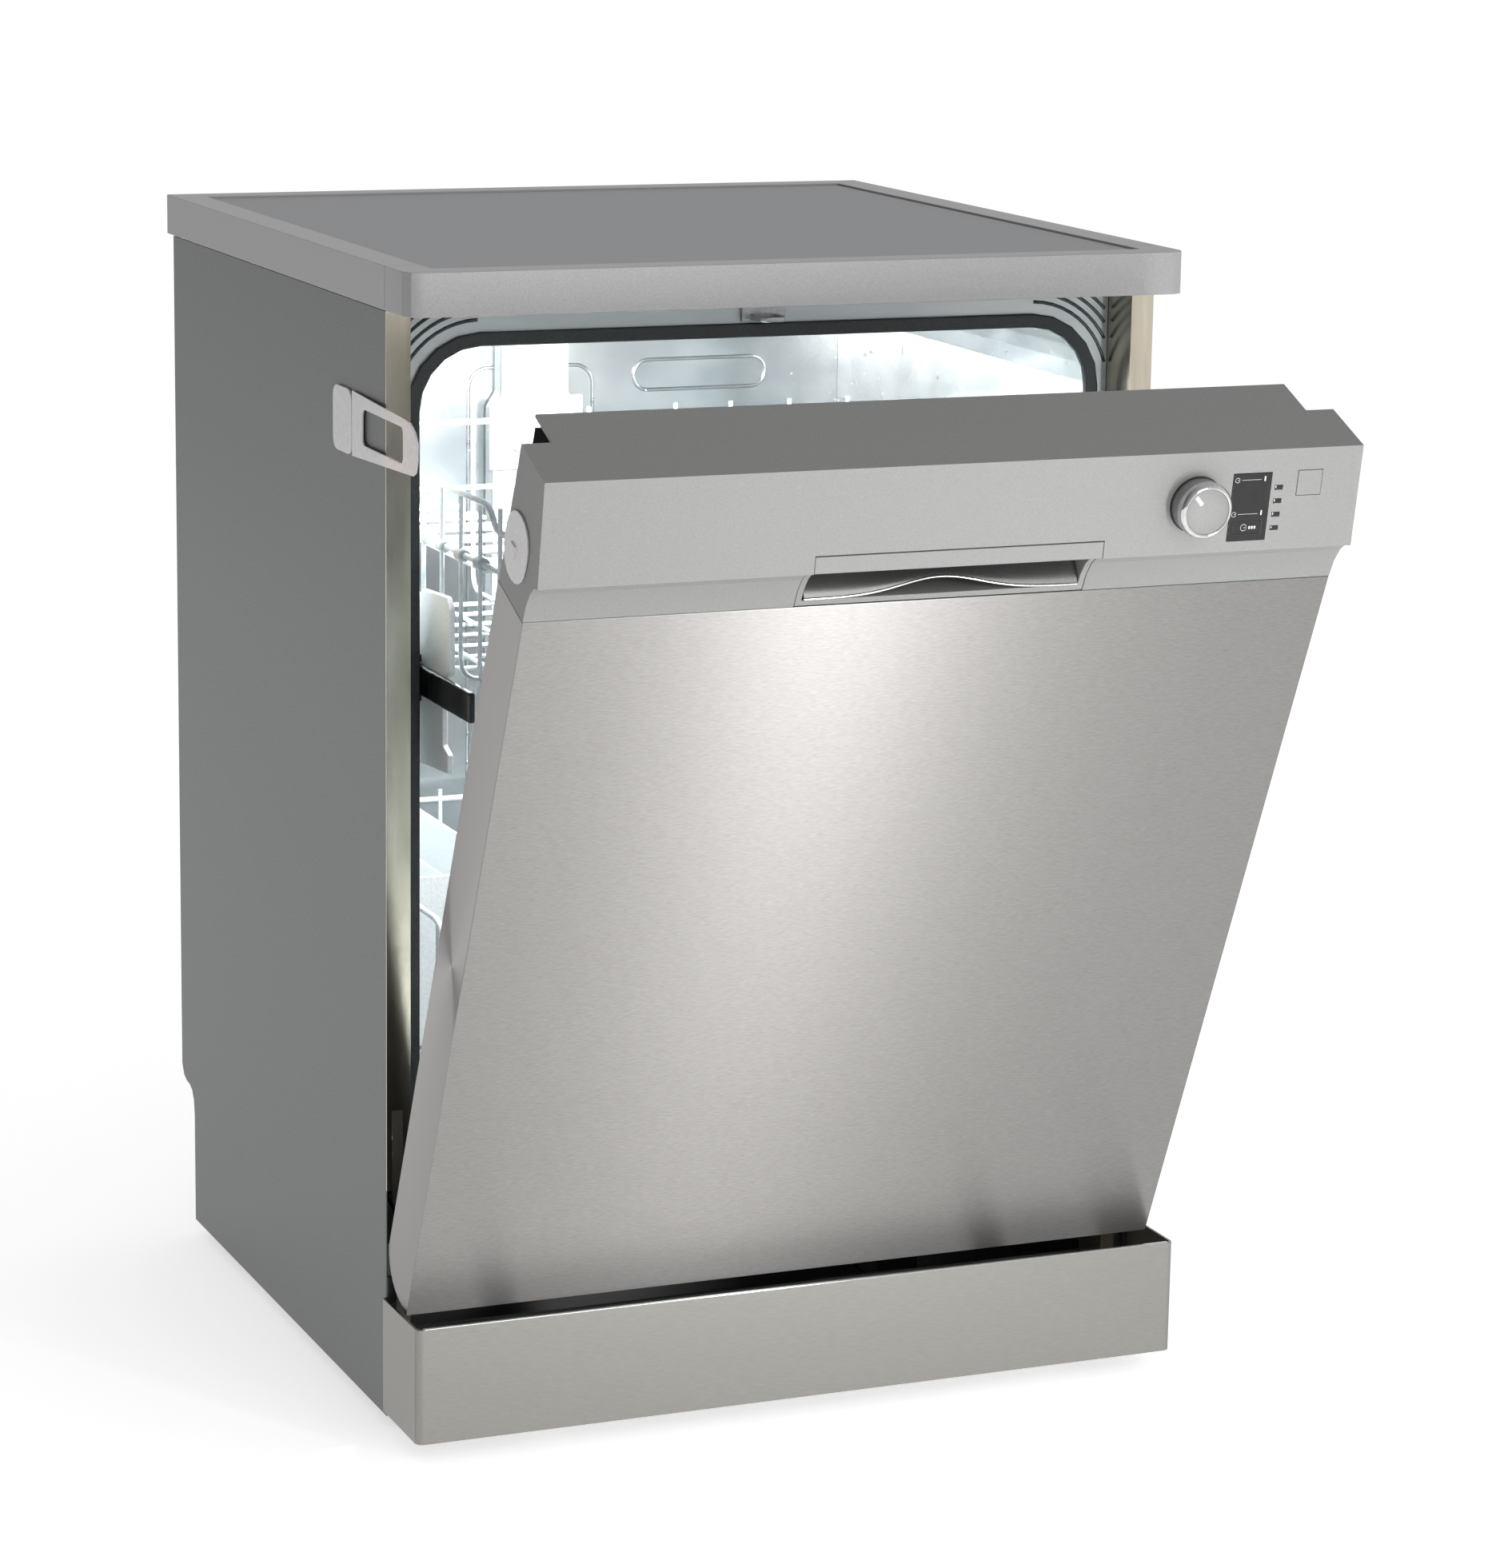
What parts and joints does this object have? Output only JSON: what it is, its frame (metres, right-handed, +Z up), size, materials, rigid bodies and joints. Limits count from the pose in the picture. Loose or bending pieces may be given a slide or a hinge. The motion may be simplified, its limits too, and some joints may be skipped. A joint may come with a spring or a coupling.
{
  "type": "freestanding dishwasher",
  "caption": "Freestanding front-loading dishwasher with a fold-down door, rack on rails, spray arms, control panel and plinth.",
  "frame": {"origin": "middle of the whole machine's footprint at floor level, with the door ajar as stored", "axes": "+Z up, -Y towards the front where the door opens, +X to the right seen from the front"},
  "size_m": [0.6075, 0.8855, 0.8501],
  "materials": {
    "steel_door": "horizontally brushed stainless steel",
    "strip_steel": "bright rolled stainless steel",
    "tub_steel": "polished stainless steel",
    "cabinet_paint": "satin grey enamel on steel sheet",
    "galvanised": "galvanised steel sheet",
    "zinc": "zinc-plated steel",
    "fascia": "silver metallic moulded plastic",
    "worktop": "silver-grey moulded plastic",
    "worktop_board": "grey laminate on chipboard",
    "black_plastic": "black moulded plastic",
    "white_plastic": "white moulded plastic",
    "grey_plastic": "grey moulded plastic",
    "coated_wire": "steel wire coated in pale grey nylon",
    "rubber": "black sealing rubber",
    "chrome_plastic": "chrome-plated and silver plastic",
    "window": "smoked black window",
    "lock": "pale translucent plastic",
    "board": "green circuit board with clear light guides"
  },
  "bodies": {
    "cabinet": {"worktop_frame": "worktop", "worktop_board": "worktop_board", "worktop_front_trim": "worktop", "side_panel_left": "cabinet_paint", "side_panel_right": "cabinet_paint", "rear_panel": "galvanised", "base_pan": "grey_plastic", "front_post_left": "strip_steel", "front_post_right": "strip_steel", "tub_wrap": "tub_steel", "tub_back_wall": "tub_steel", "tub_floor": "tub_steel", "tub_front_flange": "tub_steel", "door_gasket": "rubber", "feed_duct": "white_plastic", "sump": "grey_plastic", "circulation_pump": "zinc", "drain_pump": "grey_plastic", "water_softener": "white_plastic", "inlet_valve": "white_plastic", "striker_loop": "zinc", "plinth": "strip_steel", "foot_front_left": "black_plastic", "foot_front_right": "black_plastic", "foot_rear_left": "black_plastic", "foot_rear_right": "black_plastic", "rail_guide_left": "black_plastic", "rail_guide_right": "black_plastic", "lower_rack": "coated_wire", "cutlery_basket": "white_plastic", "child_lock_base": "lock"},
    "door": {"door_outer_panel": "steel_door", "door_liner": "tub_steel", "control_panel": "fascia", "handle_recess": "chrome_plastic", "display_window": "window", "detergent_dispenser": "grey_plastic", "door_latch": "black_plastic", "hinge_arm_left": "zinc", "hinge_arm_right": "zinc", "child_lock_catch": "lock", "indicator_board": "board"},
    "rails": {"rack_rail_left": "black_plastic", "rack_rail_right": "black_plastic"},
    "upper_rack": {"upper_rack": "coated_wire", "rack_adjuster_left": "white_plastic", "rack_adjuster_right": "white_plastic"},
    "upper_spray_arm": {"upper_spray_arm": "grey_plastic"},
    "lower_spray_arm": {"lower_spray_arm": "grey_plastic"},
    "cup_shelf_left": {"cup_shelf_left": "white_plastic"},
    "cup_shelf_right": {"cup_shelf_right": "white_plastic"},
    "program_knob": {"program_knob": "chrome_plastic"},
    "select_button": {"select_button": "window"},
    "power_button": {"power_button": "fascia"},
    "handle_flap": {"handle_flap": "fascia"},
    "dispenser_lid": {"dispenser_lid": "grey_plastic"},
    "rinse_cap": {"rinse_cap": "grey_plastic"},
    "salt_cap": {"salt_cap": "white_plastic"},
    "filter_cylinder": {"filter_cylinder": "grey_plastic"},
    "child_lock_strap": {"child_lock_strap": "lock"}
  },
  "joints": [
    {"name": "door_hinge", "type": "hinge", "parent": "cabinet", "child": "door", "pos_m": [0, -0.1458, 0.1389], "axis": [1, 0, 0], "range_deg": [-23.5, 66.5]},
    {"name": "rail_slide", "type": "slide", "parent": "cabinet", "child": "rails", "axis": [0, -1, 0], "range_m": [-0.1027, 0.2904]},
    {"name": "upper_rack_slide", "type": "slide", "parent": "cabinet", "child": "upper_rack", "axis": [0, -1, 0], "range_m": [-0.1355, 0.3832]},
    {"name": "upper_spray_arm_spin", "type": "hinge", "parent": "upper_rack", "child": "upper_spray_arm", "pos_m": [0, 0.0154, 0.51], "axis": [0, 0, 1], "continuous": true},
    {"name": "lower_spray_arm_spin", "type": "hinge", "parent": "cabinet", "child": "lower_spray_arm", "pos_m": [0, 0.1507, 0.184], "axis": [0, 0, 1], "continuous": true},
    {"name": "cup_shelf_left_fold", "type": "hinge", "parent": "upper_rack", "child": "cup_shelf_left", "pos_m": [-0.2355, 0.0134, 0.635], "axis": [0, 1, 0], "range_deg": [-88, 0]},
    {"name": "cup_shelf_right_fold", "type": "hinge", "parent": "upper_rack", "child": "cup_shelf_right", "pos_m": [0.2355, 0.0134, 0.635], "axis": [0, 1, 0], "range_deg": [0, 88]},
    {"name": "program_knob_turn", "type": "hinge", "parent": "door", "child": "program_knob", "pos_m": [0.1735, -0.42312, 0.70865], "axis": [0, -0.9857, -0.1685], "continuous": true},
    {"name": "select_button_press", "type": "slide", "parent": "door", "child": "select_button", "axis": [0, 0.9857, 0.1685], "range_m": [0, 0.0012], "stiffness_N_per_m": 300, "springref_m": -0.0008},
    {"name": "power_button_press", "type": "slide", "parent": "door", "child": "power_button", "axis": [0, 0.9857, 0.1685], "range_m": [0, 0.0015], "stiffness_N_per_m": 300, "springref_m": -0.0008},
    {"name": "handle_flap_pull", "type": "hinge", "parent": "door", "child": "handle_flap", "pos_m": [0.001, -0.41799, 0.68518], "axis": [1, 0, 0], "range_deg": [-18, 0], "stiffness_Nm_per_rad": 0.05, "springref_deg": 5.73},
    {"name": "dispenser_lid_flip", "type": "hinge", "parent": "door", "child": "dispenser_lid", "pos_m": [-0.027, -0.1894, 0.41774], "axis": [1, 0, 0], "range_deg": [-100, 0]},
    {"name": "rinse_cap_turn", "type": "hinge", "parent": "door", "child": "rinse_cap", "pos_m": [0.068, -0.20578, 0.44988], "axis": [0, 0.9171, 0.3987], "range_deg": [0, 90]},
    {"name": "salt_cap_turn", "type": "hinge", "parent": "cabinet", "child": "salt_cap", "pos_m": [0.165, 0.2887, 0.17], "axis": [0, 0, 1], "range_deg": [0, 180]},
    {"name": "filter_turn", "type": "hinge", "parent": "cabinet", "child": "filter_cylinder", "pos_m": [0.078, 0.1037, 0.17], "axis": [0, 0, 1], "range_deg": [0, 90]},
    {"name": "child_lock_swing", "type": "hinge", "parent": "cabinet", "child": "child_lock_strap", "pos_m": [-0.3002, -0.0393, 0.731], "axis": [0, 0, 1], "range_deg": [-100, 1.3]}
  ],
  "couplings": [
    {"joint": "rail_slide", "follows": "door_hinge", "m_per_rad": 0.25},
    {"joint": "upper_rack_slide", "follows": "door_hinge", "m_per_rad": 0.33}
  ]
}
